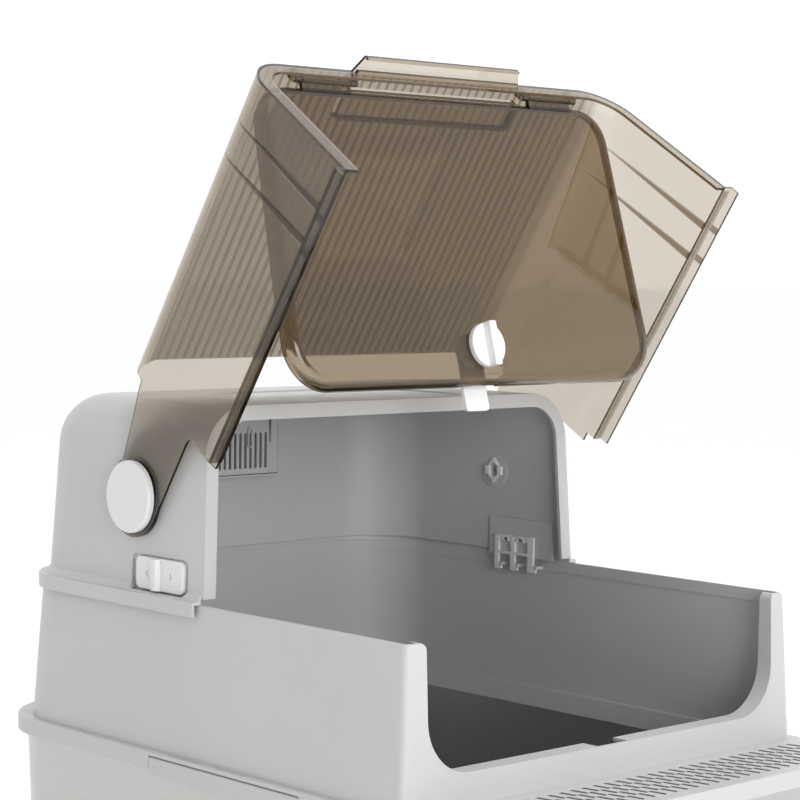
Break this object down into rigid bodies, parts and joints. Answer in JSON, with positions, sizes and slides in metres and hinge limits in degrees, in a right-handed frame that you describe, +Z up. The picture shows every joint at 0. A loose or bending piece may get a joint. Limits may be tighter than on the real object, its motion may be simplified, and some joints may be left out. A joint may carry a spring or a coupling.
{
  "type": "enclosed litter box",
  "caption": "Enclosed cat litter box with a steel pan, moulded collar with a slotted step, rear hood, flip-up clear visor and a clear swinging flap door with a turn latch.",
  "frame": {"origin": "on the floor, under the middle of the foot flange's footprint", "axes": "+X to the right-hand side of someone facing the way in, +Y from the way in to the back, +Z up"},
  "size_m": [0.424, 0.574, 0.6727],
  "materials": {
    "pan_steel": "satin",
    "foot_rubber": "matt",
    "grey_plastic": "fine matt",
    "white_plastic": "smooth satin",
    "smoke_plastic": "clear, smoke tinted",
    "pin_steel": "satin",
    "filter_felt": "felt"
  },
  "bodies": {
    "pan": {"litter_pan": "pan_steel", "pan_feet": "foot_rubber"},
    "collar": {"lower_collar": "grey_plastic", "clip_pins_left": "pin_steel", "clip_pins_right": "pin_steel"},
    "hood": {"rear_hood": "grey_plastic", "filter_pad": "filter_felt"},
    "visor": {"visor": "smoke_plastic", "pivot_cap_left": "grey_plastic", "pivot_cap_right": "grey_plastic", "pivot_pin_left": "grey_plastic", "pivot_pin_right": "grey_plastic", "door_hinge_pin_left": "pin_steel", "door_hinge_pin_right": "pin_steel"},
    "door": {"flap_door": "smoke_plastic"},
    "latch": {"door_latch_knob": "white_plastic", "door_latch_tongue": "white_plastic", "knob_screw": "pin_steel"},
    "hood_latch_left": {"hood_latch_pad_left": "white_plastic", "hood_latch_bracket_left": "grey_plastic"},
    "hood_latch_right": {"hood_latch_pad_right": "white_plastic", "hood_latch_bracket_right": "grey_plastic"},
    "clip_left": {"side_clip_left": "grey_plastic"},
    "clip_right": {"side_clip_right": "grey_plastic"},
    "grille": {"filter_grille": "grey_plastic"}
  },
  "joints": [
    {"name": "collar_lift", "type": "slide", "parent": "pan", "child": "collar", "axis": [0, 0, 1], "range_m": [0, 0.09]},
    {"name": "hood_lift", "type": "slide", "parent": "collar", "child": "hood", "axis": [0, 0, 1], "range_m": [0, 0.06]},
    {"name": "visor_hinge", "type": "hinge", "parent": "hood", "child": "visor", "pos_m": [0, 0.105, 0.341], "axis": [-1, 0, 0], "range_deg": [-57, 33]},
    {"name": "door_hinge", "type": "hinge", "parent": "visor", "child": "door", "pos_m": [0, -0.02024, 0.65136], "axis": [-1, 0, 0], "range_deg": [0, 106]},
    {"name": "door_latch_turn", "type": "hinge", "parent": "door", "child": "latch", "pos_m": [0, -0.07177, 0.45811], "axis": [0, -0.9681, 0.2504], "range_deg": [0, 90]},
    {"name": "hood_latch_slide_left", "type": "slide", "parent": "hood", "child": "hood_latch_left", "axis": [0, 1, 0], "range_m": [0, 0.007]},
    {"name": "hood_latch_slide_right", "type": "slide", "parent": "hood", "child": "hood_latch_right", "axis": [0, 1, 0], "range_m": [0, 0.007]},
    {"name": "clip_hinge_left", "type": "hinge", "parent": "collar", "child": "clip_left", "pos_m": [-0.2103, -0.0225, 0.1493], "axis": [0, 1, 0], "range_deg": [0, 100]},
    {"name": "clip_hinge_right", "type": "hinge", "parent": "collar", "child": "clip_right", "pos_m": [0.2103, -0.0225, 0.1493], "axis": [0, -1, 0], "range_deg": [0, 100]},
    {"name": "grille_hinge", "type": "hinge", "parent": "hood", "child": "grille", "pos_m": [0, 0.23713, 0.3373], "axis": [1, 0, 0], "range_deg": [0, 60]}
  ]
}
